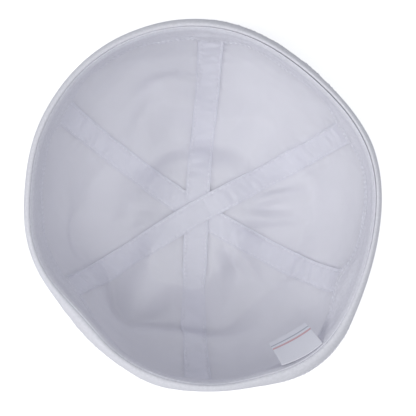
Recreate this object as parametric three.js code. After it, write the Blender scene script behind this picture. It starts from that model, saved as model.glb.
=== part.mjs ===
// A white cotton sailor hat that lies on its crown with its opening upwards. Millimetres, +Z up.
//
// The crown is six gores, their seams covered inside by tapes: one long tape runs right across
// the hat, and four short ones end under it. A sweatband is sewn inside the rim. The brim is a band
// of doubled cloth that is sewn to the rim outside, rolls over it and is turned down round the crown.
//
// Every piece is laid on one surface, the crown's outer face. A place on it has an angle round the
// hat, in degrees from +X, and a run, the length along the cloth from the crown's centre. A piece's
// lift is its distance from that face, positive towards the inside of the hat.
import * as THREE from "three";

// ---- Cloth ----
const CROWN_CLOTH = 1.2;
const TAPE_CLOTH = 1.0;
const BAND_CLOTH = 1.0;
const BRIM_CLOTH = 1.2;
const LABEL_CLOTH = 1.0;
const SEAM_GAP = 0.3; // between gores, edge to edge
const LAYER_GAP = 0.4; // between a piece and the one that it lies on

// ---- Crown ----
const RIM_RADIUS = 92.2; // mean radius of the crown's outer face at the rim
const RIM_OVAL = 3.2; // how far the oval's long axis stands beyond the mean radius
const RIM_OVAL_ANGLE = 113; // where that long axis, front to back, points
const REST_RADIUS = 36; // the soft crown is flattened where it rests, inside this radius
const WALL_HEIGHT = 36; // upright stretch between the rounded shoulder and the rim
const TIP_RUN = 1; // the gores' tips stop this short of the centre
const SLUMP = { x: -4.6, y: -4.4 }; // how far the soft crown's middle has slid under the rim

const SHOULDER_RADIUS = RIM_RADIUS - REST_RADIUS;
const SHOULDER_RUN = REST_RADIUS + (SHOULDER_RADIUS * Math.PI) / 2;
const RIM_RUN = SHOULDER_RUN + WALL_HEIGHT;

// Where the gores' seams run, how far each sways to its left halfway out, and the layer that its tape
// lies in at the centre.
const SEAMS = [
  { angle: 28, sway: -0.4, layer: 2 },
  { angle: 87, sway: -1.8, layer: 1 },
  { angle: 145.5, sway: -0.8, layer: 0 },
  { angle: 211.5, sway: 1, layer: 2 },
  { angle: 269, sway: -1.4, layer: 1 },
  { angle: 332, sway: -1.4, layer: 0 },
];
const SWAY_RUN = 74; // where along the seam the sway is greatest
const SWAY_SPREAD = 38;

// Bends of the soft rim, seen from above: how far each pushes the rim out, or in if negative.
const RIM_BENDS = [
  { angle: 16, spread: 20, push: 2.6 },
  { angle: 55, spread: 22, push: -2.2 },
  { angle: 128, spread: 18, push: 0.4 },
  { angle: 160, spread: 12, push: 0.7 },
  { angle: 194, spread: 18, push: 2.9 },
  { angle: 223, spread: 15, push: -3.0 },
  { angle: 288, spread: 9, push: -0.7 },
  { angle: 309, spread: 16, push: 2.9 },
  { angle: 345, spread: 18, push: -0.4 },
];

// Swells and dents of the crown's cloth, at an angle and a run. Across is their spread in degrees,
// along their spread in millimetres. Nearer the centre than SWELL_START they fade.
const SWELL_START = 52;
const SWELLS = [
  { angle: 266, run: 126, across: 30, along: 19, push: 7.4 },
  { angle: 186, run: 126, across: 26, along: 24, push: -2.0 },
  { angle: 332, run: 128, across: 16, along: 22, push: -2.8 },
  { angle: 140, run: 128, across: 24, along: 20, push: 2.0 },
  { angle: 90, run: 128, across: 20, along: 20, push: 1.6 },
  { angle: 10, run: 128, across: 26, along: 20, push: 2.4 },
  { angle: 55, run: 112, across: 22, along: 22, push: 2.5 },
  { angle: 120, run: 74, across: 14, along: 18, push: -3.0 },
  { angle: 240, run: 78, across: 13, along: 15, push: -2.5 },
  { angle: 180, run: 80, across: 10, along: 20, push: -2.5 },
  { angle: 52, run: 68, across: 12, along: 15, push: -2.5 },
  { angle: 4, run: 64, across: 10, along: 18, push: -2.0 },
  { angle: 306, run: 62, across: 11, along: 16, push: -2.5 },
];

// ---- Tapes, sweatband and label ----
const TAPE_WIDTH = 14.8;
const TAPE_TUCK = 10; // length of tape under the sweatband
const SHORT_TAPE_START = 3.5; // the short tapes' inner ends, from the centre
const LAYER_RAMP = 34; // past this run from the centre every tape lies on the crown
const BAND_WIDTH = 30;
const BAND_DROP = 0.6; // the sweatband's upper edge lies this far below the crown's
const BAND_OVER_TAPES = 0.5; // past this share of its width the sweatband lies over the tapes
// One corner of the label's sewn edge stands in from the band by LABEL.stand.
const LABEL = { angle: 303.5, width: 24, length: 21, leanDegrees: 40, drop: 2.5, stand: 1.8 };

// ---- Brim ----
const BRIM_HEIGHT = 68; // from the top of the roll to the free edge
const BRIM_FLARE = 9; // how far the free edge stands out beyond the roll
const BRIM_SEAM = 9; // width of the brim's sewn edge outside the crown
const ROLL_RISE = 3.2; // the roll's top above the crown's edge
const ROLL_WIDTH = 2.8;
const ROLL_TILT = 0.9; // how steeply the roll slopes down outwards
// Where the roll is fuller or flatter than that.
const ROLL_BENDS = [
  { angle: 95, spread: 28, push: 1.1 },
  { angle: 224, spread: 15, push: 3.2 },
  { angle: 256, spread: 12, push: 2.2 },
  { angle: 306, spread: 20, push: 4.9 },
];
// Waves of the rim's height and of the free edge's height and flare: waves round the hat, and where
// the first crest lies.
const RIM_WAVE = { waves: 3, crest: 40, height: 1.0 };
const EDGE_WAVE = { waves: 2, crest: 75, height: 2.0 };
const FLARE_WAVE = { waves: 2, crest: 85, height: 2.5 };

// ---- Mesh fineness ----
const RING_STEPS = 66;
const GORE_STEPS = 10;
const FLAT_STEPS = 3;
const SHOULDER_STEPS = 10;
const WALL_STEPS = 4;
const TAPE_STEPS = 2;
const BAND_STEPS = 5;
const LABEL_STEPS = 4;
const ROLL_STEPS = 6;
const LEG_STEPS = 6;
const LEAST_STEP = 3; // a tape's end is at least this far from its next station

const radians = THREE.MathUtils.degToRad;
const degrees = THREE.MathUtils.radToDeg;
const { smoothstep, euclideanModulo } = THREE.MathUtils;

// `count` equal steps from one value to another, without the last value.
const steps = (from, to, count) =>
  Array.from({ length: count }, (_, i) => from + ((to - from) * i) / count);

const CROWN_RUNS = [
  ...steps(TIP_RUN, REST_RADIUS, FLAT_STEPS),
  ...steps(REST_RADIUS, SHOULDER_RUN, SHOULDER_STEPS),
  ...steps(SHOULDER_RUN, RIM_RUN, WALL_STEPS),
  RIM_RUN,
];

// The shorter way round from one angle to another, in degrees.
const turnFrom = (from, to) => euclideanModulo(to - from + 180, 360) - 180;

// A smooth bump of height 1 that falls off over `spread`.
const bump = (distance, spread) => Math.exp(-((distance / spread) ** 2));

const wave = ({ waves, crest, height }, angle) =>
  height * Math.cos(radians(waves * (angle - crest)));

const bends = (table, angle) =>
  table.reduce((sum, b) => sum + b.push * bump(turnFrom(b.angle, angle), b.spread), 0);

const swell = (angle, run) =>
  SWELLS.reduce(
    (sum, s) =>
      sum + s.push * bump(turnFrom(s.angle, angle), s.across) * bump(run - s.run, s.along),
    0,
  ) * smoothstep(run, REST_RADIUS, SWELL_START);

// How far the oval and bent rim stands beyond its mean radius.
const rimBulge = (angle) =>
  RIM_OVAL * Math.cos(radians(2 * (angle - RIM_OVAL_ANGLE))) + bends(RIM_BENDS, angle);

// The crown's section: a flat, a quarter-circle shoulder and an upright wall.
function section(run) {
  const turn = THREE.MathUtils.clamp((run - REST_RADIUS) / SHOULDER_RADIUS, 0, Math.PI / 2);
  return {
    radius: Math.min(run, REST_RADIUS) + SHOULDER_RADIUS * Math.sin(turn),
    height: SHOULDER_RADIUS * (1 - Math.cos(turn)) + Math.max(0, run - SHOULDER_RUN),
    outward: Math.sin(turn),
    downward: Math.cos(turn),
  };
}

const polar = (angle, radius, height) =>
  new THREE.Vector3(
    radius * Math.cos(radians(angle)),
    radius * Math.sin(radians(angle)),
    height,
  );

// The crown's outer face.
function crownFace(angle, run) {
  const { radius, height, outward, downward } = section(run);
  const push = swell(angle, run);
  const rimShare = smoothstep(run, REST_RADIUS, SHOULDER_RUN);
  const riseShare = smoothstep(run, SHOULDER_RUN, RIM_RUN);
  const slumpShare = 1 - smoothstep(run, REST_RADIUS, RIM_RUN);
  return polar(
    angle,
    radius + rimShare * rimBulge(angle) + push * outward,
    height - push * downward + riseShare * wave(RIM_WAVE, angle),
  ).add(new THREE.Vector3(SLUMP.x * slumpShare, SLUMP.y * slumpShare, 0));
}

// A point off the crown's outer face, along the face's own normal.
function clothPoint(angle, run, lift) {
  const NEAR = 0.2;
  const turn = degrees(NEAR / section(run).radius);
  const along = crownFace(angle, run + NEAR).sub(crownFace(angle, run - NEAR));
  const across = crownFace(angle + turn, run).sub(crownFace(angle - turn, run));
  const inward = along.cross(across).normalize();
  return crownFace(angle, run).addScaledVector(inward, lift);
}

// The angle of a seam at a run, with its sway.
const seamAngle = (seam, run) =>
  seam.angle + degrees((seam.sway * bump(run - SWAY_RUN, SWAY_SPREAD)) / section(run).radius);

// A closed sheet of cloth. point(row, column, side) gives its two faces: side 1 is the face that
// looks where rows x columns points. A ring's last column joins its first.
function sheet(rows, columns, point, ring = false) {
  const across = ring ? columns : columns + 1;
  const vertices = [];
  for (const side of [0, 1])
    for (let i = 0; i <= rows; i++)
      for (let j = 0; j < across; j++) vertices.push(...point(i, j, side).toArray());

  const at = (i, j, side) => (side * (rows + 1) + i) * across + (j % across);
  const faces = [];
  const wall = (i1, j1, i2, j2) => {
    faces.push(at(i2, j2, 0), at(i1, j1, 0), at(i1, j1, 1));
    faces.push(at(i2, j2, 0), at(i1, j1, 1), at(i2, j2, 1));
  };
  for (let i = 0; i < rows; i++)
    for (let j = 0; j < columns; j++) {
      faces.push(at(i, j, 0), at(i, j + 1, 0), at(i + 1, j + 1, 0));
      faces.push(at(i, j, 0), at(i + 1, j + 1, 0), at(i + 1, j, 0));
      faces.push(at(i, j, 1), at(i + 1, j, 1), at(i + 1, j + 1, 1));
      faces.push(at(i, j, 1), at(i + 1, j + 1, 1), at(i, j + 1, 1));
    }
  for (let j = 0; j < columns; j++) {
    wall(0, j, 0, j + 1);
    wall(rows, j + 1, rows, j);
  }
  if (!ring)
    for (let i = 0; i < rows; i++) {
      wall(i + 1, 0, i, 0);
      wall(i, columns, i + 1, columns);
    }

  const geometry = new THREE.BufferGeometry();
  geometry.setAttribute("position", new THREE.Float32BufferAttribute(vertices, 3));
  geometry.setIndex(faces);
  geometry.computeVertexNormals();
  return geometry;
}

// One gore, between two seams.
function goreGeometry(firstSeam, nextSeam) {
  return sheet(CROWN_RUNS.length - 1, GORE_STEPS, (row, column, side) => {
    const run = CROWN_RUNS[row];
    const inset = degrees(SEAM_GAP / 2 / section(run).radius);
    const start = seamAngle(firstSeam, run) + inset;
    const width = euclideanModulo(seamAngle(nextSeam, run) - inset - start, 360);
    return clothPoint(start + (width * column) / GORE_STEPS, run, side * CROWN_CLOTH);
  });
}

// A point of a tape on a seam: `offset` is to the left of the way out from the centre.
function tapePoint(seam, run, offset, side) {
  const sideways = (offset * run) / section(run).radius;
  const turn = degrees(Math.atan2(sideways, run));
  const layerLift = seam.layer * (TAPE_CLOTH + LAYER_GAP);
  const layerShare = 1 - smoothstep(run, TAPE_WIDTH, LAYER_RAMP);
  const lift = CROWN_CLOTH + LAYER_GAP + layerLift * layerShare + side * TAPE_CLOTH;
  return clothPoint(seamAngle(seam, run) + turn, Math.hypot(run, sideways), lift);
}

const TAPE_END = RIM_RUN - BAND_DROP - BAND_WIDTH + TAPE_TUCK;
const tapeRuns = (start) => [
  start,
  ...CROWN_RUNS.filter((run) => run > start + LEAST_STEP && run < TAPE_END - LEAST_STEP),
  TAPE_END,
];
const tapeOffset = (column) => TAPE_WIDTH * (column / TAPE_STEPS - 0.5);

function shortTapeGeometry(seam) {
  const runs = tapeRuns(SHORT_TAPE_START);
  return sheet(runs.length - 1, TAPE_STEPS, (row, column, side) =>
    tapePoint(seam, runs[row], tapeOffset(column), side),
  );
}

// The long tape comes in along one seam and goes out along the one opposite.
function longTapeGeometry(inSeam, outSeam) {
  const runs = tapeRuns(TAPE_WIDTH / 2);
  const stations = [
    ...runs.toReversed().map((run) => ({ seam: inSeam, run, sign: -1 })),
    ...runs.map((run) => ({ seam: outSeam, run, sign: 1 })),
  ];
  return sheet(stations.length - 1, TAPE_STEPS, (row, column, side) => {
    const { seam, run, sign } = stations[row];
    return tapePoint(seam, run, sign * tapeOffset(column), side);
  });
}

const ringAngle = (column) => (360 * column) / RING_STEPS;

// The sweatband lies on the crown at its upper edge and over the tapes' ends at its lower one.
function sweatbandGeometry() {
  return sheet(
    BAND_STEPS,
    RING_STEPS,
    (row, column, side) => {
      const down = row / BAND_STEPS;
      const overTape = (TAPE_CLOTH + 2 * LAYER_GAP) * smoothstep(down, 0, BAND_OVER_TAPES);
      const lift = CROWN_CLOTH + LAYER_GAP + overTape + (1 - side) * BAND_CLOTH;
      return clothPoint(ringAngle(column), RIM_RUN - BAND_DROP - BAND_WIDTH * down, lift);
    },
    true,
  );
}

// The brim's section at an angle, as a row of centreline points with the normal of its outer side.
function brimSection(angle) {
  const rollRadius = (ROLL_WIDTH + bends(ROLL_BENDS, angle) - BRIM_CLOTH) / 2;
  const seamLift = -(LAYER_GAP + BRIM_CLOTH / 2);
  const sewnEdge = clothPoint(angle, RIM_RUN - BRIM_SEAM, seamLift);
  const rim = clothPoint(angle, RIM_RUN, seamLift);
  const outward = polar(angle, 1, 0);
  const up = new THREE.Vector3(0, 0, 1);
  const rollCentre = rim
    .clone()
    .addScaledVector(outward, rollRadius)
    .addScaledVector(up, ROLL_RISE - BRIM_CLOTH / 2 - rollRadius);

  const rows = [{ centre: sewnEdge, normal: outward.clone().negate() }];
  for (let i = 0; i <= ROLL_STEPS; i++) {
    const turn = Math.PI * (1 - i / ROLL_STEPS);
    const centre = rollCentre
      .clone()
      .addScaledVector(outward, rollRadius * Math.cos(turn))
      .addScaledVector(up, rollRadius * (Math.sin(turn) - ROLL_TILT * (1 + Math.cos(turn))));
    const normal = outward
      .clone()
      .multiplyScalar(Math.cos(turn) + ROLL_TILT * Math.sin(turn))
      .addScaledVector(up, Math.sin(turn))
      .normalize();
    rows.push({ centre, normal });
  }

  const rollFoot = rows.at(-1).centre;
  const legLength = BRIM_HEIGHT - (1 + 2 * ROLL_TILT) * rollRadius + wave(EDGE_WAVE, angle);
  const flare = BRIM_FLARE + wave(FLARE_WAVE, angle);
  for (let i = 1; i <= LEG_STEPS; i++) {
    const down = i / LEG_STEPS;
    const centre = rollFoot
      .clone()
      .addScaledVector(up, -legLength * down)
      .addScaledVector(outward, flare * down);
    rows.push({ centre, normal: outward });
  }
  return rows;
}

function brimGeometry() {
  const sections = Array.from({ length: RING_STEPS }, (_, column) =>
    brimSection(ringAngle(column)),
  );
  return sheet(
    sections[0].length - 1,
    RING_STEPS,
    (row, column, side) => {
      const { centre, normal } = sections[column][row];
      return centre.clone().addScaledVector(normal, (side - 0.5) * BRIM_CLOTH);
    },
    true,
  );
}

// The label hangs from the rim over the sweatband and leans into the hat.
function labelGeometry() {
  const bandLift = CROWN_CLOTH + 2 * LAYER_GAP + BAND_CLOTH;
  const lean = radians(LABEL.leanDegrees);
  return sheet(LABEL_STEPS, LABEL_STEPS, (row, column, side) => {
    const down = (LABEL.length * row) / LABEL_STEPS;
    const across = column / LABEL_STEPS;
    const leanLift = down * Math.sin(lean) + LABEL.stand * (1 - across);
    const sideways = LABEL.width * (across - 0.5);
    const angle = LABEL.angle + degrees(sideways / (RIM_RADIUS - leanLift));
    const run = RIM_RUN - LABEL.drop - down * Math.cos(lean);
    return clothPoint(angle, run, bandLift + leanLift + (1 - side) * LABEL_CLOTH);
  });
}

const cloth = (name, color, roughness) =>
  new THREE.MeshStandardMaterial({ name, color, roughness, metalness: 0 });

const materials = {
  twill: cloth("white_twill", 0xeeeef4, 0.9),
  tape: cloth("white_tape", 0xf0f0f7, 0.85),
  band: cloth("white_sweatband", 0xeeeef5, 0.9),
  label: cloth("white_label", 0xf4f4fa, 0.6),
};

function piece(name, geometry, material) {
  const mesh = new THREE.Mesh(geometry, material);
  mesh.name = name;
  return mesh;
}

const hat = new THREE.Group();
SEAMS.forEach((seam, i) => {
  const nextSeam = SEAMS[(i + 1) % SEAMS.length];
  hat.add(piece(`crown_gore_${i + 1}`, goreGeometry(seam, nextSeam), materials.twill));
});
SEAMS.filter((seam) => seam.layer < 2).forEach((seam, i) => {
  hat.add(piece(`seam_tape_${i + 1}`, shortTapeGeometry(seam), materials.tape));
});
hat.add(piece("seam_tape_long", longTapeGeometry(SEAMS[3], SEAMS[0]), materials.tape));
hat.add(piece("sweatband", sweatbandGeometry(), materials.band));
hat.add(piece("brim", brimGeometry(), materials.twill));
hat.add(piece("label", labelGeometry(), materials.label));

// The origin is under the middle of the hat, on the surface that it rests on.
const bounds = new THREE.Box3().setFromObject(hat);
const middle = bounds.getCenter(new THREE.Vector3());
hat.position.set(-middle.x, -middle.y, -bounds.min.z);

export default hat;
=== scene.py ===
"""A white cotton sailor hat that lies on its crown with its opening upwards.

Every piece is laid on one surface, the crown's outer face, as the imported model's solids are. A
place on that surface has an angle round the hat, in degrees from +X, and a run, the length along
the cloth from the crown's centre. A lift is the distance from the surface towards the inside of
the hat. The shapes are worked out in millimetres in the hat's own frame. They are moved to the
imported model's place and turned into metres as each piece is made.
"""

from collections import namedtuple

import bpy
import numpy as np
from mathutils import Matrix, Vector


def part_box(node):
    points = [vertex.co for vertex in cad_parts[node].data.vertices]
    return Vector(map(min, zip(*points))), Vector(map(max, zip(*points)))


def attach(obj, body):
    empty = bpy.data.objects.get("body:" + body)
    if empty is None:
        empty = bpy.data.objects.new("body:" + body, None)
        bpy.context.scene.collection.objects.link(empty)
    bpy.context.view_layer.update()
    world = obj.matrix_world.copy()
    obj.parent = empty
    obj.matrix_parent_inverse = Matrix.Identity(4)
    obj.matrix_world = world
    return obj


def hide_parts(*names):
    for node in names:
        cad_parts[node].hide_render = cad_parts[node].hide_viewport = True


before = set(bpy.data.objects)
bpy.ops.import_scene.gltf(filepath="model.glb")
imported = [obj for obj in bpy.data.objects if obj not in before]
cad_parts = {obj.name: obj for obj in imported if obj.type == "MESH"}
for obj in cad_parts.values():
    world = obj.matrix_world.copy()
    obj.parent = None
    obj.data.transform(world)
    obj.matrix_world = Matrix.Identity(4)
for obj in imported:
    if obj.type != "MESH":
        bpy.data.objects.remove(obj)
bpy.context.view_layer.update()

MM = 0.001

# ---- The crown's surface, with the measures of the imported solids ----
RIM_RADIUS = 92.2  # mean radius of the crown's outer face at the rim
RIM_OVAL = 3.2  # how much longer and shorter the rim is along and across RIM_OVAL_ANGLE
RIM_OVAL_ANGLE = 113
REST_RADIUS = 36  # the soft crown is flattened where it rests, inside this radius
WALL_HEIGHT = 36
TIP_RUN = 1  # where the gores' tips end, just off the crown's centre
SLUMP = (-4.6, -4.4)  # how far the resting part has slid sideways under the rim
SHOULDER_RADIUS = RIM_RADIUS - REST_RADIUS
SHOULDER_RUN = REST_RADIUS + SHOULDER_RADIUS * np.pi / 2
RIM_RUN = SHOULDER_RUN + WALL_HEIGHT

# A seam sways sideways by `sway` around SWAY_RUN. Its tape lies over those of lower layers.
Seam = namedtuple("Seam", "angle sway layer")
SEAMS = [
    Seam(28, -0.4, 2),
    Seam(87, -1.8, 1),
    Seam(145.5, -0.8, 0),
    Seam(211.5, 1, 2),
    Seam(269, -1.4, 1),
    Seam(332, -1.4, 0),
]
LONG_TAPE_LAYER = 2  # of the two seams that the long tape covers
SWAY_RUN = 74
SWAY_SPREAD = 38

# A bend changes a measure by `push` round an angle, and fades over `spread` degrees.
Bend = namedtuple("Bend", "angle spread push")
RIM_BENDS = [
    Bend(16, 20, 2.6),
    Bend(55, 22, -2.2),
    Bend(128, 18, 0.4),
    Bend(160, 12, 0.7),
    Bend(194, 18, 2.9),
    Bend(223, 15, -3.0),
    Bend(288, 9, -0.7),
    Bend(309, 16, 2.9),
    Bend(345, 18, -0.4),
]

# A swell pushes the cloth round one place, over `across` degrees and `along` millimetres.
Swell = namedtuple("Swell", "angle run across along push")
SWELL_START = 52  # the swells fade out between REST_RADIUS and this run
SWELLS = [
    Swell(266, 126, 30, 19, 7.4),
    Swell(186, 126, 26, 24, -2.0),
    Swell(332, 128, 16, 22, -2.8),
    Swell(140, 128, 24, 20, 2.0),
    Swell(90, 128, 20, 20, 1.6),
    Swell(10, 128, 26, 20, 2.4),
    Swell(55, 112, 22, 22, 2.5),
    Swell(120, 74, 14, 18, -3.0),
    Swell(240, 78, 13, 15, -2.5),
    Swell(180, 80, 10, 20, -2.5),
    Swell(52, 68, 12, 15, -2.5),
    Swell(4, 64, 10, 18, -2.0),
    Swell(306, 62, 11, 16, -2.5),
]

# ---- Cloths: thicknesses and lifts ----
CROWN_CLOTH = 0.9
CROWN_LIFT = 0.55  # of the crown cloth's middle
CROWN_EDGE_DROP = 2.5  # the crown's raw edge ends this far below the rim, under the sweatband
SEAM_GAP = 0.3
TAPE_CLOTH = 0.5
TAPE_LIFT = 1.45
TAPE_LAYER = 0.65  # lift of a tape over the one that it crosses
BAND_CLOTH = 0.7
BAND_LIFT = 1.5
BAND_TOP_LIFT = 0.5  # the sweatband's upper edge leans out over the crown's raw edge
BAND_TOP = 3.0
LABEL_CLOTH = 0.6
BRIM_CLOTH = 1.1
BRIM_LIFT = -1.0

# ---- Tapes, sweatband, label and brim ----
TAPE_WIDTH = 14.8
TAPE_TUCK = 8.4  # how far the tapes' ends reach under the sweatband
SHORT_TAPE_START = 3.5
LAYER_RAMP = 34  # the run at which a crossing tape is down on the crown again
TAPE_PUFF = 0.7
TAPE_STITCH = 6.0  # a stitch row's distance from the tape's middle
TAPE_GROOVE = 0.5  # how deep the stitches pull the tape down
TAPE_RUNG = 0.22  # height of the short cross creases at the stitches
TAPE_RUNG_PITCH = 3.9
TAPE_EDGE_STAND = 0.3
TAPE_CURL = 0.55  # how much further one edge of every tape stands up
TAPE_CURL_SIDE = 45  # the angle that the raised edges lie towards
BAND_WIDTH = 30
BAND_DROP = -1.0  # the sweatband's upper edge stands this far above the crown's, against the roll
BAND_STITCHES = (2.2, 5.4)  # the stitch rows' distances from the sweatband's lower edge
BAND_OVER_TAPE = 1.2  # how far the band stands off over the tapes' ends
BAND_CREASE = 0.16
BAND_EDGE_WAVE = 0.35
BAND_PINCH = 0.25  # how deep the stitch rows pull the band in
BAND_JOIN_ANGLE = 88  # where the band's ends are joined
BAND_JOIN = 0.28  # height of the small creases there
BRIM_HEIGHT = 68
BRIM_FLARE = 9  # how much further out the free edge is than the roll
BRIM_SEAM = 9  # the sewn edge's distance below the rim, outside the crown
ROLL_RISE = 3.2  # the roll's top above the crown's edge
ROLL_TILT = 0.9  # the rolled edge slopes down outwards
ROLL_WIDTH = 2.8
ROLL_LEAN = 0.8  # the roll leans in over the sweatband's upper edge
ROLL_LEAN_BENDS = [Bend(50, 56, -0.33)]
ROLL_TILT_BENDS = [Bend(35, 62, 0.6)]
ROLL_BENDS = [
    Bend(95, 28, 1.1),
    Bend(224, 15, 3.2),
    Bend(256, 12, 2.2),
    Bend(306, 20, 4.9),
]

# A wave rises and falls by `height` so many times round the hat, with a crest at an angle.
Wave = namedtuple("Wave", "waves crest height")
RIM_WAVE = Wave(3, 40, 1.0)
EDGE_WAVE = Wave(2, 75, 2.0)
FLARE_WAVE = Wave(2, 85, 2.5)

LABEL_ANGLE = 303.5
LABEL_WIDTH = 24
LABEL_LENGTH = 21
LABEL_LEAN = 36  # in degrees, off the wall
LABEL_DROP = -0.5
LABEL_LIFT = 1.5
LABEL_STAND = 1.2  # how far one corner of the sewn edge stands in from the band
LABEL_BELLY = 0.9  # how far its middle bulges
LABEL_CURL = 1.2  # how far its free corners curl back


# ---- Functions of angle and run ----
def turn_from(start, end):
    """The shorter way round from one angle to another, in degrees."""
    return (end - start + 180) % 360 - 180


def bump(distance, spread):
    """1 at no distance, and fading to 0 over the spread."""
    return np.exp(-((distance / spread) ** 2))


def smooth(x, low, high):
    """0 up to low, 1 from high, and smooth between them."""
    t = np.clip((x - low) / (high - low), 0, 1)
    return t * t * (3 - 2 * t)


def wave(w, angle):
    return w.height * np.cos(np.radians(w.waves * (angle - w.crest)))


def bends(table, angle):
    return sum(b.push * bump(turn_from(b.angle, angle), b.spread) for b in table)


def swells(table, angle, run):
    return sum(
        s.push * bump(turn_from(s.angle, angle), s.across) * bump(run - s.run, s.along)
        for s in table
    )


def section(run):
    """The crown's radius and height, and how far its outer face looks outward and downward."""
    turn = np.clip((run - REST_RADIUS) / SHOULDER_RADIUS, 0, np.pi / 2)
    radius = np.minimum(run, REST_RADIUS) + SHOULDER_RADIUS * np.sin(turn)
    height = SHOULDER_RADIUS * (1 - np.cos(turn)) + np.maximum(0, run - SHOULDER_RUN)
    return radius, height, np.sin(turn), np.cos(turn)


def polar(angle, radius, height):
    a = np.radians(angle)
    return np.stack(np.broadcast_arrays(radius * np.cos(a), radius * np.sin(a), height), -1)


def crown_face(angle, run):
    radius, height, outward, downward = section(run)
    push = swells(SWELLS, angle, run) * smooth(run, REST_RADIUS, SWELL_START)
    bulge = RIM_OVAL * np.cos(np.radians(2 * (angle - RIM_OVAL_ANGLE))) + bends(RIM_BENDS, angle)
    radius = radius + smooth(run, REST_RADIUS, SHOULDER_RUN) * bulge + push * outward
    height = height - push * downward + smooth(run, SHOULDER_RUN, RIM_RUN) * wave(RIM_WAVE, angle)
    slump = 1 - smooth(run, REST_RADIUS, RIM_RUN)
    point = polar(angle, radius, height)
    point[..., 0] += SLUMP[0] * slump
    point[..., 1] += SLUMP[1] * slump
    return point


def unit(v):
    """Vectors of length 1."""
    return v / np.linalg.norm(v, axis=-1, keepdims=True)


NORMAL_STEP = 0.4  # half the distance between the points that a normal is taken from


def inward(angle, run):
    """The surface's normal, towards the inside of the hat."""
    turn = np.degrees(NORMAL_STEP / section(run)[0])
    along = crown_face(angle, run + NORMAL_STEP) - crown_face(angle, run - NORMAL_STEP)
    across = crown_face(angle + turn, run) - crown_face(angle - turn, run)
    return unit(np.cross(along, across))


def seam_angle(seam, run):
    """The seam's angle, which changes with the run because the seam sways."""
    return seam.angle + np.degrees(seam.sway * bump(run - SWAY_RUN, SWAY_SPREAD) / section(run)[0])


# ---- Soft relief that the crown's cloth and all that is sewn to it share ----
# The crown's middle stands off the ground. The cloth touches the ground along a ring, the foot,
# and the wall rises beyond it.
MIDDLE_RISE = 17
FALL_START = 14  # where the raised middle starts to fall towards the foot
FALL_BENDS = [Bend(262, 42, 8), Bend(238, 22, 33), Bend(272, 17, 24), Bend(95, 50, 6)]
FOOT_RUN = 62
FOOT_DEPTH = 11  # at most; the ground lets it be less where the foot is near the centre
FOOT_INSIDE = 12  # the trough's widths on the middle's side and on the wall's side
FOOT_OUTSIDE = 9
FOOT_CREASE = 7  # how wide the trough's bottom is rounded
FOOT_DECAY = 1.2  # how steeply the trough's sides rise
FOOT_PRESS = 1.5  # how much deeper than the ground the foot may be before the ground flattens it
GROUND_EASE = 3.5  # how softly the cloth comes down on the ground
STEEPEST = 0.2  # least share of a push that goes downward, so that upright walls need no ground
DEPTH_BENDS = [Bend(104, 22, -5), Bend(50, 20, -6), Bend(186, 24, -4), Bend(350, 30, -4)]
FOOT_BENDS = [
    Bend(8, 14, 9),
    Bend(50, 16, 10),
    Bend(77, 12, -7),
    Bend(107, 15, 9),
    Bend(140, 14, -10),
    Bend(186, 18, 7),
    Bend(236, 15, 19),
    Bend(276, 14, 8),
]
INSIDE_BENDS = [Bend(238, 30, -5), Bend(282, 16, -4)]
# Humps and dents, with the fields of the crown's swells.
HUMPS = [
    Swell(104, 58, 15, 8, 4.0),
    Swell(115, 42, 24, 6, -5.0),
    Swell(106, 83, 13, 6.5, -5.5),
    Swell(66, 46, 15, 8, -6.0),
    Swell(269, 84, 22, 8, 6.0),
    Swell(190, 78, 11, 7, -8.0),
]

# A fold runs from one place of the crown to another, along a straight line of the flattened cloth.
Fold = namedtuple("Fold", "angle run end_angle end_run width push")
FOLD_END = 0.3  # a fold's height at its ends, as a share of that at its middle
FOLDS = [
    Fold(346, 28, 344, 62, 5.4, -8.2),
    Fold(354, 28, 355, 66, 4.4, 4.8),
    Fold(3, 32, 4, 66, 4.6, -7),
    Fold(9, 36, 11, 66, 3.6, 4.2),
    Fold(15, 34, 17, 62, 3.4, -2.4),
    Fold(21, 34, 21, 92, 3.6, 2.8),
    Fold(318, 32, 312, 62, 3.6, 4.2),
    Fold(307, 30, 303, 58, 3.6, -3.8),
    Fold(297, 28, 290, 54, 4.4, 4),
    Fold(172, 42, 196, 56, 6, 2.6),
    Fold(192, 22, 196, 46, 4, 2.0),
    Fold(176, 22, 176, 40, 4, -2),
]
PUFF = 1.2  # how far a gore's middle stands out between its seams
PUFF_RISE = (50, 90)  # the runs over which the puff grows and fades
PUFF_FADE = (128, 156)
FREE_MARGIN = 14  # distance from a tape at which the cloth moves freely
RIM_FADE = (24, 6)  # distances from the rim over which the wrinkles fade out
SEAM_WRINKLES = 0.35  # share of the wrinkles' height that is left along a seam

# A ripple field is a smooth random relief, with its own seed.
Ripples = namedtuple("Ripples", "wavelength height seed")
WRINKLES = [Ripples(46, 0.55, 11), Ripples(19, 0.22, 12), Ripples(7, 0.05, 13)]
SEAM_PUCKERS = Ripples(7, 0.22, 21)
PUCKER_DISTANCE = 1  # of the seams' puckers from a tape's edge
PUCKER_SPREAD = 4
RIPPLE_WAVES = 22
RIPPLE_RANGE = (0.75, 1.5)  # shortest and longest wave, as shares of the wavelength


def ripple(points, wavelength, seed):
    """A smooth random field of about unit height."""
    random = np.random.default_rng(seed)
    total = 0
    for _ in range(RIPPLE_WAVES):
        direction = unit(random.normal(size=3))
        k = 2 * np.pi / (wavelength * random.uniform(*RIPPLE_RANGE))
        total = total + np.sin(points @ (direction * k) + random.uniform(0, 2 * np.pi))
    return total / np.sqrt(RIPPLE_WAVES / 2)


def ripples(points, table):
    return sum(field.height * ripple(points, field.wavelength, field.seed) for field in table)


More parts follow.
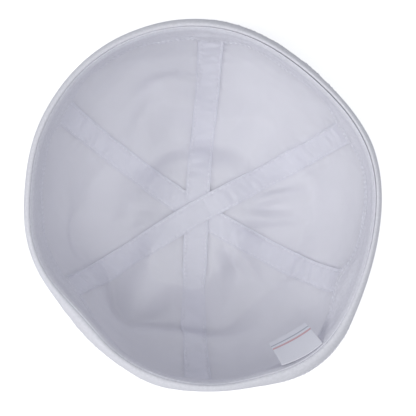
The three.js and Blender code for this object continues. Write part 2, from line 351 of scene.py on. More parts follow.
def fold_height(fold, x, y):
    """The fold's height at a place of the flattened crown, highest halfway along the fold."""
    start = np.radians(fold.angle)
    end = np.radians(fold.end_angle)
    ax, ay = fold.run * np.cos(start), fold.run * np.sin(start)
    bx, by = fold.end_run * np.cos(end), fold.end_run * np.sin(end)
    dx, dy = bx - ax, by - ay
    share = np.clip(((x - ax) * dx + (y - ay) * dy) / (dx**2 + dy**2), 0, 1)
    distance = np.hypot(x - ax - share * dx, y - ay - share * dy)
    height = FOLD_END + (1 - FOLD_END) * np.sin(np.pi * share)
    return fold.push * bump(distance, fold.width) * height


def seam_distance(angle, run):
    """Distance from the nearest seam, in millimetres."""
    turns = [np.abs(turn_from(seam_angle(s, run), angle)) for s in SEAMS]
    return np.radians(np.min(turns, axis=0)) * section(run)[0]


def ground_relief(angle, run):
    """The raised middle, the humps, and the trough at the foot, as deep as the ground allows."""
    foot = FOOT_RUN + bends(FOOT_BENDS, angle)
    height, downward = section(foot)[1], section(foot)[3]
    depth = np.minimum(FOOT_DEPTH + bends(DEPTH_BENDS, angle), height / downward + FOOT_PRESS)
    reach = np.where(run < foot, FOOT_INSIDE + bends(INSIDE_BENDS, angle), FOOT_OUTSIDE)
    fall = FALL_START + bends(FALL_BENDS, angle)
    away = np.hypot(run - foot, FOOT_CREASE) - FOOT_CREASE
    trough = depth * np.exp(-FOOT_DECAY * away / reach - (away / (2 * reach)) ** 2)
    return MIDDLE_RISE * (1 - smooth(run, fall, foot)) - trough + swells(HUMPS, angle, run)


def relief(angle, run):
    """How far the cloth stands in from the crown's plain face."""
    face = crown_face(angle, run)
    x, y = run * np.cos(np.radians(angle)), run * np.sin(np.radians(angle))
    folds = sum(fold_height(f, x, y) for f in FOLDS) + ground_relief(angle, run)
    distance = seam_distance(angle, run)
    free = smooth(distance, TAPE_WIDTH / 2, TAPE_WIDTH / 2 + FREE_MARGIN)  # of any tape
    puff = -PUFF * free * smooth(run, *PUFF_RISE) * (1 - smooth(run, *PUFF_FADE))
    from_edge = distance - TAPE_WIDTH / 2
    pucker = bump(from_edge - PUCKER_DISTANCE, PUCKER_SPREAD) * ripples(face, [SEAM_PUCKERS])
    wrinkles = ripples(face, WRINKLES) * (SEAM_WRINKLES + (1 - SEAM_WRINKLES) * free)
    fine = (pucker + wrinkles) * (1 - smooth(run, RIM_RUN - RIM_FADE[0], RIM_RUN - RIM_FADE[1]))
    total = folds + puff + fine
    height, downward = section(run)[1], section(run)[3]
    ground = -height / np.maximum(downward, STEEPEST)
    return ground + (total - ground + np.hypot(total - ground, GROUND_EASE)) / 2


def on_crown(angle, run, lift):
    """A point of a cloth on the crown, and the normal there."""
    normal = inward(angle, run)
    height = lift + relief(angle, run)
    return crown_face(angle, run) + normal * height[..., None], normal


# ---- Meshes ----
hat_at = np.zeros(3)  # where the hat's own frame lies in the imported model's frame, set further down
EDGE_STATIONS = np.array([0, 0.08, 0.3, 0.65])  # shares of the rounded edge's width


def spaced(start, end, step, edge):
    """Stations from start to end, closer together within `edge` of both ends."""
    near = edge * EDGE_STATIONS
    count = max(2, round((end - start - 2 * edge) / step) + 1)
    middle = np.linspace(start + edge, end - edge, count)
    return np.concatenate([start + near, middle, end - near[::-1]])


def rounded(distance, half):
    """Half the thickness at a distance from the cloth's edge, so that the edge is round."""
    t = np.clip(1 - distance / half, 0, 1)
    return half * np.sqrt(1 - t * t)


def new_piece(name, vertices, faces, finish, replaces, corner_uv=None):
    """A piece of the hat, without the vertices that no face uses."""
    used = np.unique(faces)
    number = np.zeros(len(vertices), int)
    number[used] = np.arange(len(used))
    mesh = bpy.data.meshes.new(name)
    mesh.from_pydata(((vertices[used] + hat_at) * MM).tolist(), [], number[faces].tolist())
    if corner_uv is not None:
        mesh.uv_layers.new(name="cloth").data.foreach_set("uv", corner_uv.ravel())
    mesh.shade_smooth()
    mesh.materials.append(finish.material)
    piece = bpy.data.objects.new(name, mesh)
    bpy.context.scene.collection.objects.link(piece)
    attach(piece, "root")
    if replaces:
        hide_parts(*replaces)
    return piece


def grid_faces(index, closed):
    """Quads of a grid of vertex numbers, looking where rows x columns points."""
    right = np.roll(index, -1, axis=1) if closed else index[:, 1:]
    left = index if closed else index[:, :-1]
    return np.stack([left[:-1], left[1:], right[1:], right[:-1]], -1).reshape(-1, 4)


def grid_normals(points, closed):
    """Normals of a grid of points, on the side that its faces look."""
    wrapped = np.concatenate([points[:, -1:], points, points[:, :1]], 1) if closed else points
    across = np.gradient(wrapped, axis=1)[:, 1:-1] if closed else np.gradient(points, axis=1)
    return unit(np.cross(np.gradient(points, axis=0), across))


def cloth(name, middle, half, uv, finish, replaces, closed=False):
    """A sheet of cloth. Its two faces share their points along open edges, where half is 0.

    uv holds the cloth's own lengths in millimetres. It has one more column than the grid if closed.
    """
    rows, columns = half.shape
    normal = grid_normals(middle, closed)
    front = np.arange(rows * columns).reshape(rows, columns)
    back = np.where(half > 0, front + rows * columns, front)
    vertices = np.concatenate(
        [
            (middle + normal * half[..., None]).reshape(-1, 3),
            (middle - normal * half[..., None]).reshape(-1, 3),
        ]
    )
    faces = np.concatenate([grid_faces(front, closed), grid_faces(back, closed)[:, ::-1]])
    left, right = uv[:, :-1], uv[:, 1:]
    corners = np.stack([left[:-1], left[1:], right[1:], right[:-1]], 2).reshape(-1, 4, 2)
    corner_uv = np.concatenate([corners, corners[:, ::-1]])
    return new_piece(name, vertices, faces, finish, replaces, corner_uv)


# ---- Stitches ----
STITCH_PITCH = 2.7
STITCH_LENGTH = 2.2
BAND_THREAD = 0.25  # the threads' radii
TAPE_THREAD = 0.32
BRIM_THREAD = 0.25
STITCH_SIDES = 5
# A stitch's rings: share of its length, lift, and share of the thread's radius.
STITCH_STATIONS = np.array([[0, -0.14, 0.6], [0.3, 0.1, 1], [0.7, 0.1, 1], [1, -0.14, 0.6]])


def stitch_row(points, normals, thread):
    """Vertices and faces of the stitches along a path of closely spaced points."""
    length = np.concatenate([[0], np.cumsum(np.linalg.norm(np.diff(points, axis=0), axis=1))])
    shares, lifts, sizes = STITCH_STATIONS.T
    starts = np.arange(STITCH_PITCH / 2, length[-1] - STITCH_LENGTH, STITCH_PITCH)
    at = starts[:, None] + STITCH_LENGTH * shares
    place = np.stack([np.interp(at, length, points[:, i]) for i in range(3)], -1)
    up = unit(np.stack([np.interp(at, length, normals[:, i]) for i in range(3)], -1))
    along = unit(np.gradient(place, axis=1))
    side = unit(np.cross(along, up))
    turn = 2 * np.pi * np.arange(STITCH_SIDES) / STITCH_SIDES
    ring = np.cos(turn)[:, None] * side[:, :, None, :] + np.sin(turn)[:, None] * up[:, :, None, :]
    centre = (place + up * lifts[:, None])[:, :, None]
    vertices = centre + ring * (thread * sizes)[:, None, None]
    index = np.arange(vertices[..., 0].size).reshape(vertices.shape[:3])
    following = np.roll(index, -1, axis=2)
    sides = np.stack([index[:, :-1], following[:, :-1], following[:, 1:], index[:, 1:]], -1)
    return vertices.reshape(-1, 3), sides.reshape(-1, 4)


def stitches(name, rows, slot, thread):
    """One piece for all the stitches of some rows, each row a pair of points and normals."""
    vertices, faces, count = [], [], 0
    for points, normals in rows:
        row_vertices, row_faces = stitch_row(points, normals, thread)
        vertices.append(row_vertices)
        faces.append(row_faces + count)
        count += len(row_vertices)
    finish = Finish(THREAD.material, slot)
    return new_piece(name, np.concatenate(vertices), np.concatenate(faces), finish, ())


# ---- Materials ----
Finish = namedtuple("Finish", "material slot")
SHEEN_ROUGHNESS = 0.5
SPECULAR = 0.3
MOTTLE_RANGE = (0.3, 0.7)  # of the noise, from the darkest patches to the lightest
# The Mix node's colour sockets have the same names as its others, so they go by number.
MIX_A, MIX_B, MIX_RESULT = 6, 7, 2


def make_finish(name, slot, color, roughness, sheen, build):
    """A white cloth's material. build(tree, shader, color) adds its colour variation and weave."""
    material = bpy.data.materials.new(name)
    material.use_nodes = True
    tree = material.node_tree
    shader = tree.nodes["Principled BSDF"]
    shader.inputs["Base Color"].default_value = (*color, 1)
    shader.inputs["Roughness"].default_value = roughness
    shader.inputs["Sheen Weight"].default_value = sheen
    shader.inputs["Sheen Roughness"].default_value = SHEEN_ROUGHNESS
    shader.inputs["Specular IOR Level"].default_value = SPECULAR
    build(tree, shader, color)
    return Finish(material, slot)


def node(tree, kind, inputs=(), **settings):
    """A new node, with its settings and its linked or plain inputs."""
    new = tree.nodes.new(kind)
    for key, value in settings.items():
        setattr(new, key, value)
    for key, value in dict(inputs).items():
        if isinstance(value, bpy.types.NodeSocket):
            tree.links.new(value, new.inputs[key])
        else:
            new.inputs[key].default_value = value
    return new


def cloth_coordinates(tree):
    return node(tree, "ShaderNodeUVMap", uv_map="cloth").outputs["UV"]


def mottled(tree, shader, color, scale, spread):
    """A base colour that varies a little over the cloth, down to `spread` darker."""
    place = node(tree, "ShaderNodeTexCoord").outputs["Object"]
    patches = node(tree, "ShaderNodeTexNoise", {"Vector": place, "Scale": scale, "Detail": 3})
    low, high = MOTTLE_RANGE
    ramp = node(
        tree,
        "ShaderNodeMapRange",
        {"Value": patches.outputs["Fac"], "From Min": low, "From Max": high},
    )
    dark = tuple(c * (1 - spread) for c in color)
    layers = {"Factor": ramp.outputs["Result"], MIX_A: (*dark, 1), MIX_B: (*color, 1)}
    mix = node(tree, "ShaderNodeMix", layers, data_type="RGBA")
    tree.links.new(mix.outputs[MIX_RESULT], shader.inputs["Base Color"])


def weave(tree, shader, lines, slant, strength, depth):
    """A twill or plain weave: slanted ridges, broken up by the threads' own roughness."""
    coordinates = cloth_coordinates(tree)
    rotation = (0, 0, np.radians(slant))
    turned = node(tree, "ShaderNodeMapping", {"Vector": coordinates, "Rotation": rotation})
    ridges = node(
        tree,
        "ShaderNodeTexWave",
        {
            "Vector": turned.outputs["Vector"],
            "Scale": lines / 2,
            "Distortion": 0.6,
            "Detail Scale": 2,
        },
    )
    threads = node(tree, "ShaderNodeTexNoise", {"Vector": coordinates, "Scale": 1.6, "Detail": 4})
    heights = {0: ridges.outputs["Fac"], 1: threads.outputs["Fac"]}
    height = node(tree, "ShaderNodeMath", heights, operation="ADD").outputs[0]
    relief_bump = node(
        tree, "ShaderNodeBump", {"Height": height, "Strength": strength, "Distance": depth}
    )
    tree.links.new(relief_bump.outputs["Normal"], shader.inputs["Normal"])


def twill(tree, shader, color):
    mottled(tree, shader, color, scale=650, spread=0.08)
    weave(tree, shader, lines=1.1, slant=58, strength=0.55, depth=0.12 * MM)


def fine_twill(tree, shader, color):
    mottled(tree, shader, color, scale=28, spread=0.035)
    weave(tree, shader, lines=2.2, slant=58, strength=0.4, depth=0.06 * MM)


def tape_cloth(tree, shader, color):
    mottled(tree, shader, color, scale=60, spread=0.03)
    weave(tree, shader, lines=1.8, slant=90, strength=0.4, depth=0.06 * MM)


def thread_twist(tree, shader, color):
    mottled(tree, shader, color, scale=200, spread=0.05)


Stripe = namedtuple("Stripe", "down width color")
LABEL_STRIPES = [
    Stripe(13.2, 1.4, (0.7, 0.46, 0.5)),
    Stripe(16.2, 1.0, (0.5, 0.51, 0.58)),
]


def label_cloth(tree, shader, color):
    """Plain woven stripes across the label, near its free end."""
    coordinates = cloth_coordinates(tree)
    down = node(tree, "ShaderNodeSeparateXYZ", {"Vector": coordinates}).outputs["Y"]
    paint = (*color, 1)
    for stripe in LABEL_STRIPES:
        offset = node(tree, "ShaderNodeMath", {0: down, 1: stripe.down}, operation="SUBTRACT")
        away = node(tree, "ShaderNodeMath", {0: offset.outputs[0]}, operation="ABSOLUTE")
        limits = {0: away.outputs[0], 1: stripe.width / 2}
        inside = node(tree, "ShaderNodeMath", limits, operation="LESS_THAN").outputs[0]
        layers = {"Factor": inside, MIX_A: paint, MIX_B: (*stripe.color, 1)}
        paint = node(tree, "ShaderNodeMix", layers, data_type="RGBA").outputs[MIX_RESULT]
    tree.links.new(paint, shader.inputs["Base Color"])
    weave(tree, shader, lines=2.5, slant=0, strength=0.3, depth=0.04 * MM)


# Name, slot, colour, roughness and sheen.
TWILL = make_finish("white_twill", "white_twill", (0.872, 0.868, 0.915), 0.9, 0.15, twill)
CROWN = make_finish("crown_twill", "white_twill", (0.885, 0.88, 0.925), 0.9, 0.15, fine_twill)
TAPE = make_finish("white_tape", "white_tape", (0.875, 0.872, 0.935), 0.8, 0.1, tape_cloth)
BAND = make_finish("white_sweatband", "white_sweatband", (0.875, 0.87, 0.93), 0.9, 0.15, twill)
LABEL = make_finish("white_label", "white_label", (0.84, 0.84, 0.90), 0.6, 0.05, label_cloth)
THREAD = make_finish("thread", "white_twill", (0.95, 0.945, 1.0), 0.6, 0, thread_twist)


# ---- Brim ----
RING_STEPS = 500
RING = 360 * np.arange(RING_STEPS) / RING_STEPS
BRIM_ROWS = [8, 14.5, 21, 27.5, 34, 40.5, 47, 53.5, 60]  # stitch rows, down from the roll
HEM_ROW = 2.2  # the hem's stitch row, up from the free edge
ROLL_STATIONS = 17
LEG_STATIONS = 62  # the leg is the brim's part from the roll down to the free edge
LEG_EDGE = 0.5 / 66  # share of the leg's length over which the free edge is rounded
QUILT_SWELL = 0.28  # how far the brim swells between two rows, and sinks at them
QUILT_SINK = 0.16
QUILT_REACH = 2.4
QUILT_START = (1, 7)  # the distances from the roll over which the quilting begins
ROW_PUCKERS = Ripples(9, 0.16, 31)
ROW_PUCKER_REACH = 2.2
BRIM_RIPPLES = [Ripples(60, 0.35, 32), Ripples(22, 0.12, 33)]


def brim_section(angles):
    """The brim's middle line at each angle, from the sewn edge to the free edge."""
    # The stations that round an open edge aren't wanted where two parts of the section meet.
    seam_runs = spaced(RIM_RUN - BRIM_SEAM, RIM_RUN, step=1.5, edge=BRIM_CLOTH / 2)
    angle, run = np.meshgrid(angles, seam_runs[: 1 - len(EDGE_STATIONS)])
    inner = on_crown(angle, run, np.full(angle.shape, BRIM_LIFT))[0]

    out = polar(angles, 1, 0)
    up = np.array([0, 0, 1.0])
    lean = ROLL_LEAN + bends(ROLL_LEAN_BENDS, angles)
    tilt = ROLL_TILT + bends(ROLL_TILT_BENDS, angles)
    roll_radius = (ROLL_WIDTH + lean + bends(ROLL_BENDS, angles) - BRIM_CLOTH) / 2
    rim = on_crown(angles, np.full(angles.shape, RIM_RUN), np.full(angles.shape, BRIM_LIFT))[0]
    centre = rim + out * (roll_radius - lean)[:, None]
    centre = centre + up * (ROLL_RISE - BRIM_CLOTH / 2 - roll_radius)[:, None]
    turns = np.pi * (1 - np.linspace(0, 1, ROLL_STATIONS))[:, None, None]
    roll = centre + (out * np.cos(turns) + up * np.sin(turns)) * roll_radius[:, None]
    roll = roll - up * (1 + np.cos(turns)) * (tilt * roll_radius)[:, None]

    leg_length = BRIM_HEIGHT - (1 + 2 * tilt) * roll_radius + wave(EDGE_WAVE, angles)
    flare = BRIM_FLARE + wave(FLARE_WAVE, angles)
    leg_share = spaced(0, 1, step=1 / LEG_STATIONS, edge=LEG_EDGE)
    leg_share = leg_share[len(EDGE_STATIONS) + 1 :, None]
    leg = roll[-1] - up * (leg_length * leg_share)[..., None] + out * (flare * leg_share)[..., None]
    return np.concatenate([inner, roll, leg])


def quilting(down, points):
    """The doubled brim swells a little between its rows of stitches and puckers along them."""
    nearest = np.min([np.abs(down - row) for row in BRIM_ROWS], axis=0)
    swelling = QUILT_SWELL * smooth(nearest, 0, QUILT_REACH) - QUILT_SINK
    puckers = ripples(points, [ROW_PUCKERS]) * bump(nearest, ROW_PUCKER_REACH)
    return swelling + puckers + ripples(points, BRIM_RIPPLES)


def ring_uv(down):
    """The cloth's own lengths on a closed ring, with the first column again at the end."""
    around = np.radians(np.append(RING, 360)) * RIM_RADIUS
    return np.stack(np.broadcast_arrays(around[None], np.append(down, down[:, :1], 1)), -1)


def make_brim():
    middle = brim_section(RING)
    normal = grid_normals(middle, closed=True)
    steps = np.linalg.norm(np.diff(middle, axis=0), axis=2)
    length = np.concatenate([np.zeros((1, RING_STEPS)), np.cumsum(steps, axis=0)])
    to_edge = np.minimum(length, length[-1] - length)
    half = rounded(to_edge, BRIM_CLOTH / 2)
    half[[0, -1]] = 0
    down = length - BRIM_SEAM - ROLL_RISE
    worked = quilting(down, middle) * smooth(down, *QUILT_START)
    middle = middle + normal * worked[..., None]
    uv = ring_uv(length)
    cloth("brim_cloth", middle, half, uv, TWILL, ["brim"], closed=True)

    rows = []
    column = np.arange(RING_STEPS)
    for row in [*BRIM_ROWS, down[-1, 0] - HEM_ROW]:
        place = np.array([np.interp(row, down[:, j], np.arange(len(down))) for j in column])
        low = np.floor(place).astype(int)
        share = (place - low)[:, None]
        face = normal[low, column]
        path = middle[low, column] * (1 - share) + middle[low + 1, column] * share
        path = path + face * (BRIM_CLOTH / 2)
        rows.append((np.append(path, path[:1], 0), np.append(face, face[:1], 0)))
    stitches("brim_stitches", rows, "white_twill", BRIM_THREAD)


# ---- Crown ----
GORE_COLUMNS = 78
GORE_EDGE = 0.0075  # share of a gore's width over which each edge is rounded
GORE_EDGE_SHARES = np.array([0, 0.0006, 0.002, 0.0048])  # of the columns within the edge


def make_gore(number, seam, next_seam):
    runs = spaced(TIP_RUN, RIM_RUN - CROWN_EDGE_DROP, step=1.2, edge=CROWN_CLOTH / 2)[:, None]
    inset = np.degrees(SEAM_GAP / 2 / section(runs)[0])
    start = seam_angle(seam, runs) + inset
    width = (seam_angle(next_seam, runs) - inset - start) % 360
    inner = np.linspace(GORE_EDGE, 1 - GORE_EDGE, GORE_COLUMNS)
    share = np.concatenate([GORE_EDGE_SHARES, inner, 1 - GORE_EDGE_SHARES[::-1]])
    angle = start + width * share
    run = np.broadcast_to(runs, angle.shape)
    middle, normal = on_crown(angle, run, np.full(angle.shape, CROWN_LIFT))
    side = np.radians(np.minimum(angle - start, start + width - angle)) * section(run)[0]
    end = np.minimum(run - run[0], run[-1] - run)
    half = rounded(np.minimum(side, end), CROWN_CLOTH / 2)
    half[[0, -1]] = 0
    half[:, [0, -1]] = 0
    uv = np.stack([np.radians(angle - seam.angle) * section(run)[0], run], -1)
    cloth(f"gore_{number}_cloth", middle, half, uv, CROWN, [f"crown_gore_{number}"])


# ---- Tapes ----
TAPE_END = RIM_RUN - BAND_DROP - BAND_WIDTH + TAPE_TUCK
TAPE_OFFSETS = spaced(-TAPE_WIDTH / 2, TAPE_WIDTH / 2, step=0.7, edge=TAPE_CLOTH / 2)
GATHER_MEAN = 0.5  # the gathers' mean height, as a share of TAPE_PUFF
GATHERS = [Ripples(11, 0.42, 41), Ripples(5, 0.32, 43)]
GATHER_SLANT = 0.3  # the gathers cross the tape at a slant, and change less across it than along it
GATHER_STRETCH = 0.45
GATHER_APART = 3.0  # moves the fields of two tapes apart, so that their gathers differ
PUFF_POWER = 0.6  # makes the puff between the rows blunter than a parabola
GROOVE_REACH = 0.9
RUNG_REACH = 1.8
RUNG_WANDER = Ripples(14, 1.5, 44)  # how unevenly the rungs follow one another, in radians
ROW_START = 9  # the run at which a short tape's stitch rows begin, outside the long tape
LONG_ROW_START = 2
ROW_STEP = 0.3
OUTSIDE_START = 8  # the outside's stitches begin this far out from the resting part


def tape_place(seam, run, offset):
    """Angle and run of a tape's point, `offset` to the left of the way out from the centre."""
    sideways = offset * run / section(run)[0]
    turn = np.degrees(np.arctan2(sideways, run))
    return seam_angle(seam, run) + turn, np.hypot(run, sideways)


def tape_lift(seam, run, offset):
    """Layers at the centre, and the puckers between and outside the two rows of stitches."""
    layer = seam.layer * TAPE_LAYER * (1 - smooth(run, TAPE_WIDTH, LAYER_RAMP))
    apart = np.full(run.shape, seam.angle * GATHER_APART)
    path = np.stack([run + GATHER_SLANT * offset, apart, GATHER_STRETCH * offset], -1)
    gathers = GATHER_MEAN + ripples(path, GATHERS)
    between = np.clip(1 - (offset / TAPE_STITCH) ** 2, 0, 1) ** PUFF_POWER
    to_row = np.abs(offset) - TAPE_STITCH
    groove = -TAPE_GROOVE * bump(to_row, GROOVE_REACH)
    phase = 2 * np.pi * run / TAPE_RUNG_PITCH + ripples(path, [RUNG_WANDER])
    rungs = TAPE_RUNG * np.sin(phase) * bump(to_row, RUNG_REACH)
    raised = offset * np.cos(np.radians(seam.angle + 90 - TAPE_CURL_SIDE)) > 0
    stand = TAPE_EDGE_STAND + TAPE_CURL * raised
    outside = stand * smooth(to_row, 0, TAPE_WIDTH / 2 - TAPE_STITCH)
    return TAPE_LIFT + layer + TAPE_PUFF * between * gathers + groove + rungs + outside


def tape_strip(name, stations, replaces):
    """A tape through stations: grids of angle, run, lift and offset, and each row's length."""
    angle, run, lift, offset, length = stations
    middle, normal = on_crown(angle, run, lift)
    end = np.minimum(length - length[0], length[-1] - length)[:, None]
    side = TAPE_WIDTH / 2 - np.abs(offset)
    half = rounded(np.minimum(end, side), TAPE_CLOTH / 2)
    half[[0, -1]] = 0
    half[:, [0, -1]] = 0
    uv = np.stack(np.broadcast_arrays(offset, length[:, None]), -1)
    cloth(name, middle, half, uv, TAPE, replaces)


def arm_stations(seam, start, sign=1):
    """A tape's stations along a seam. The columns go to the left, or to the right if sign is -1."""
    length = spaced(start, TAPE_END, step=0.8, edge=TAPE_CLOTH / 2)
    run, offset = np.broadcast_arrays(length[:, None], sign * TAPE_OFFSETS)
    angle, place = tape_place(seam, run, offset)
    return angle, place, tape_lift(seam, run, offset), offset, length


def make_short_tape(number, seam):
    # Rows go out from the centre and columns to the left, so the front face looks inward.
    stations = arm_stations(seam, SHORT_TAPE_START)
    tape_strip(f"tape_{number}_cloth", stations, [f"seam_tape_{number}"])


def make_long_tape(in_seam, out_seam):
    """The long tape comes in along one seam and goes out along the opposite one."""
    way_out = arm_stations(out_seam, TAPE_WIDTH / 4)
    way_in = arm_stations(in_seam, TAPE_WIDTH / 4, -1)
    # The stations that round an open end aren't wanted in the middle. On the way in, offset and
    # length count the other way.
    skip = len(EDGE_STATIONS)
    stations = [
        np.concatenate([sign * a[skip:][::-1], b[skip:]])
        for sign, a, b in zip((1, 1, 1, -1, -1), way_in, way_out)
    ]
    tape_strip("tape_long_cloth", stations, ["seam_tape_long"])


def tape_stitch_rows(side):
    """Both rows of every tape, on the tape inside, or on the crown's outer face."""
    rows = []
    for seam in SEAMS:
        start = LONG_ROW_START if seam.layer == LONG_TAPE_LAYER else ROW_START
        run = np.arange(start, TAPE_END, ROW_STEP)
        for offset in (-TAPE_STITCH, TAPE_STITCH):
            offsets = np.full(run.shape, offset)
            angle, place = tape_place(seam, run, offsets)
            if side == "inside":
                lift = tape_lift(seam, run, offsets) + TAPE_CLOTH / 2
                rows.append(on_crown(angle, place, lift))
            else:
                lift = np.full(run.shape, CROWN_LIFT - CROWN_CLOTH / 2)
                points, normals = on_crown(angle, place, lift)
                high = run > REST_RADIUS + OUTSIDE_START
                rows.append((points[high], -normals[high]))
    return rows


# ---- Sweatband ----
# Where the band stands off the crown, from BAND_STAND_START down.
BAND_STANDS = [Bend(332, 14, 1.6), Bend(2, 20, 2.6), Bend(96, 12, 0.8), Bend(196, 14, 0.6)]
BAND_STAND_START = 6
BAND_TAPE_SPREAD = 7  # how far to each side of a tape it holds the band off, in degrees
BAND_BETWEEN = 0.3  # share of BAND_OVER_TAPE that is left between the tapes
BAND_TAPE_RANGE = (8, 18)  # distances down the band over which it goes over the tapes' ends
BAND_EDGE_RIPPLES = Ripples(26, BAND_EDGE_WAVE, 51)
BAND_EDGE_START = 10
BAND_CREASES = Ripples(12, BAND_CREASE, 52)
BAND_CREASE_STRETCH = [1, 1, 1.4]  # the creases are shorter down the band than along it
BAND_CREASE_RANGE = (2, 10)
BAND_JOIN_PITCH = 2.3
BAND_JOIN_SPREAD = 7
BAND_JOIN_RANGE = (3, 6)
BAND_PINCH_REACH = 0.7
BAND_ROW_POINTS = 1500


def band_lift(angle, down):
    """The band leans out over the crown's raw edge at its top, and passes over the tapes' ends."""
    near_tape = sum(bump(turn_from(s.angle, angle), BAND_TAPE_SPREAD) for s in SEAMS)
    share = BAND_BETWEEN + (1 - BAND_BETWEEN) * near_tape
    over_tape = BAND_OVER_TAPE * smooth(down, *BAND_TAPE_RANGE) * share
    stand = bends(BAND_STANDS, angle) * smooth(down, BAND_STAND_START, BAND_WIDTH)
    top = BAND_TOP_LIFT + (BAND_LIFT - BAND_TOP_LIFT) * smooth(down, 0, BAND_TOP)
    return top + over_tape + stand


def band_point(angle, down):
    """A point of the band's middle at a distance down from its upper edge, and the normal there."""
    edge_wave = ripples(polar(angle, RIM_RADIUS, 0), [BAND_EDGE_RIPPLES])
    edge_wave = edge_wave * smooth(down, BAND_EDGE_START, BAND_WIDTH)
    run = RIM_RUN - BAND_DROP - down + edge_wave
    points, normal = on_crown(angle, run, band_lift(angle, down))
    creases = ripples(points * BAND_CREASE_STRETCH, [BAND_CREASES])
    creases = creases * smooth(down, *BAND_CREASE_RANGE)
    near_join = bump(turn_from(BAND_JOIN_ANGLE, angle), BAND_JOIN_SPREAD)
    join = BAND_JOIN * np.sin(2 * np.pi * down / BAND_JOIN_PITCH) * near_join
    join = join * smooth(down, *BAND_JOIN_RANGE)
    rows = [BAND_WIDTH - row for row in BAND_STITCHES]
    pinch = -BAND_PINCH * sum(bump(down - row, BAND_PINCH_REACH) for row in rows)
    return points + normal * (creases + join + pinch)[..., None], normal


def make_sweatband():
    down = spaced(0, BAND_WIDTH, step=0.9, edge=BAND_CLOTH / 2)
    angle, down = np.meshgrid(RING, down)
    points, normal = band_point(angle, down)
    half = rounded(np.minimum(down, BAND_WIDTH - down), BAND_CLOTH / 2)
    half[[0, -1]] = 0
    uv = ring_uv(down)
    # Rows go down, so the normals that cloth() is given look out of the hat.
    cloth("sweatband_cloth", points, half, uv, BAND, ["sweatband"], closed=True)

    angle = np.linspace(0, 360, BAND_ROW_POINTS)
    rows = []
    for row in BAND_STITCHES:
        points, normal = band_point(angle, np.full(angle.shape, BAND_WIDTH - row))
        rows.append((points + normal * BAND_CLOTH / 2, normal))
    stitches("sweatband_stitches", rows, "white_sweatband", BAND_THREAD)


# ---- Label ----
def make_label():
    lean = np.radians(LABEL_LEAN)
    down = spaced(0, LABEL_LENGTH, step=0.7, edge=LABEL_CLOTH / 2)
    across = spaced(-LABEL_WIDTH / 2, LABEL_WIDTH / 2, step=0.7, edge=LABEL_CLOTH / 2)
    sideways, down = np.meshgrid(across, down)
    stand = LABEL_STAND * (0.5 - sideways / LABEL_WIDTH)
    belly = LABEL_BELLY * np.sin(np.pi * down / LABEL_LENGTH)
    lean_lift = down * np.sin(lean) + stand + belly
    angle = LABEL_ANGLE + np.degrees(sideways / (RIM_RADIUS - lean_lift))
    run = RIM_RUN - LABEL_DROP - down * np.cos(lean)
    normal = inward(angle, run)
    curl = LABEL_CURL * (sideways / (LABEL_WIDTH / 2)) ** 2 * (down / LABEL_LENGTH)
    middle = crown_face(angle, run) + normal * (LABEL_LIFT + lean_lift - curl)[..., None]
    half = rounded(
        np.minimum(np.minimum(down, LABEL_LENGTH - down), LABEL_WIDTH / 2 - np.abs(sideways)),
        LABEL_CLOTH / 2,
    )
    half[[0, -1]] = 0
    half[:, [0, -1]] = 0
    uv = np.stack([sideways, down], -1)
    cloth("label_cloth", middle, half, uv, LABEL, ["label"])


# ---- The hat ----
# The middle of the brim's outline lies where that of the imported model's brim does.
brim_low, brim_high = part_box("brim")
brim_points = brim_section(RING).reshape(-1, 3)
own_middle = (brim_points.min(0) + brim_points.max(0)) / 2
cad_middle = np.array((brim_low + brim_high) / 2) / MM
hat_at = (cad_middle - own_middle) * [1, 1, 0]

for number, seam in enumerate(SEAMS):
    make_gore(number + 1, seam, SEAMS[(number + 1) % len(SEAMS)])
for number, seam in enumerate(s for s in SEAMS if s.layer < LONG_TAPE_LAYER):
    make_short_tape(number + 1, seam)
make_long_tape(SEAMS[3], SEAMS[0])
stitches("tape_stitches", tape_stitch_rows("inside"), "white_tape", TAPE_THREAD)
stitches("crown_stitches", tape_stitch_rows("outside"), "white_twill", BRIM_THREAD)
make_sweatband()
make_brim()
make_label()

# ---- Floor, light and camera ----
FLOOR_SIZE = 2.5  # in metres, from its middle to each side
FLOOR_DROP = 0.5 * MM  # below the hat, so that the two faces never lie in each other
FLOOR_GLOW = 0.52

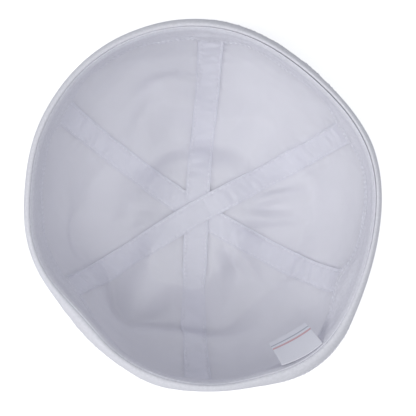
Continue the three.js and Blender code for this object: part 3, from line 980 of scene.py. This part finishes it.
corners = [(-1, -1), (1, -1), (1, 1), (-1, 1)]
floor_points = [(x * FLOOR_SIZE, y * FLOOR_SIZE, -FLOOR_DROP) for x, y in corners]
floor_mesh = bpy.data.meshes.new("floor")
floor_mesh.from_pydata(floor_points, [], [(0, 1, 2, 3)])
floor = bpy.data.objects.new("floor", floor_mesh)
bpy.context.scene.collection.objects.link(floor)
floor_material = bpy.data.materials.new("floor")
floor_material.use_nodes = True
floor_shader = floor_material.node_tree.nodes["Principled BSDF"]
floor_shader.inputs["Base Color"].default_value = (0.95, 0.95, 0.95, 1)
floor_shader.inputs["Roughness"].default_value = 0.9
floor_shader.inputs["Emission Color"].default_value = (1, 1, 1, 1)
floor_shader.inputs["Emission Strength"].default_value = FLOOR_GLOW
floor_mesh.materials.append(floor_material)
floor.visible_diffuse = False  # the ground throws no light on the photo's hat


def area_light(name, place, size, power):
    """A round lamp that looks at the hat. Its place and size are in metres."""
    light = bpy.data.lights.new(name, "AREA")
    light.shape = "DISK"
    light.size = size
    light.energy = power
    lamp = bpy.data.objects.new(name, light)
    lamp.location = place
    lamp.rotation_euler = (-Vector(place)).to_track_quat("-Z", "Y").to_euler()
    bpy.context.scene.collection.objects.link(lamp)


area_light("key", place=(-1.49, -0.35, 1.29), size=0.9, power=7.5)
area_light("top", place=(-0.26, -0.3, 1.95), size=0.9, power=6.9)
area_light("fill", place=(0.74, -0.88, 1.64), size=1.0, power=3.6)
area_light("side", place=(-1.1, -1.4, 0.4), size=0.9, power=3.0)

SKY_COLOR = (0.9, 0.93, 1, 1)
SKY_STRENGTH = 0.44
world = bpy.data.worlds.new("studio")
world.use_nodes = True
sky = world.node_tree.nodes["Background"]
sky.inputs["Color"].default_value = SKY_COLOR
sky.inputs["Strength"].default_value = SKY_STRENGTH
bpy.context.scene.world = world
bpy.context.scene.view_settings.view_transform = "Standard"

VIEW_WIDTH = 219  # of the frame, at the rim's height
VIEW_DISTANCE = 470  # of the camera above the rim
VIEW_OFFSET = (2.53, -1.58)  # of the camera from the middle of the rim
RIM_DROP = 3  # of the rim's mean height below the brim's highest point
rim_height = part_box("brim")[1].z / MM - RIM_DROP
camera = bpy.data.cameras.new("camera")
camera.angle = 2 * np.arctan(VIEW_WIDTH / 2 / VIEW_DISTANCE)
camera_object = bpy.data.objects.new("camera", camera)
camera_object.location = (
    (hat_at[0] + VIEW_OFFSET[0]) * MM,
    (hat_at[1] + VIEW_OFFSET[1]) * MM,
    (rim_height + VIEW_DISTANCE) * MM,
)
bpy.context.scene.collection.objects.link(camera_object)
bpy.context.scene.camera = camera_object
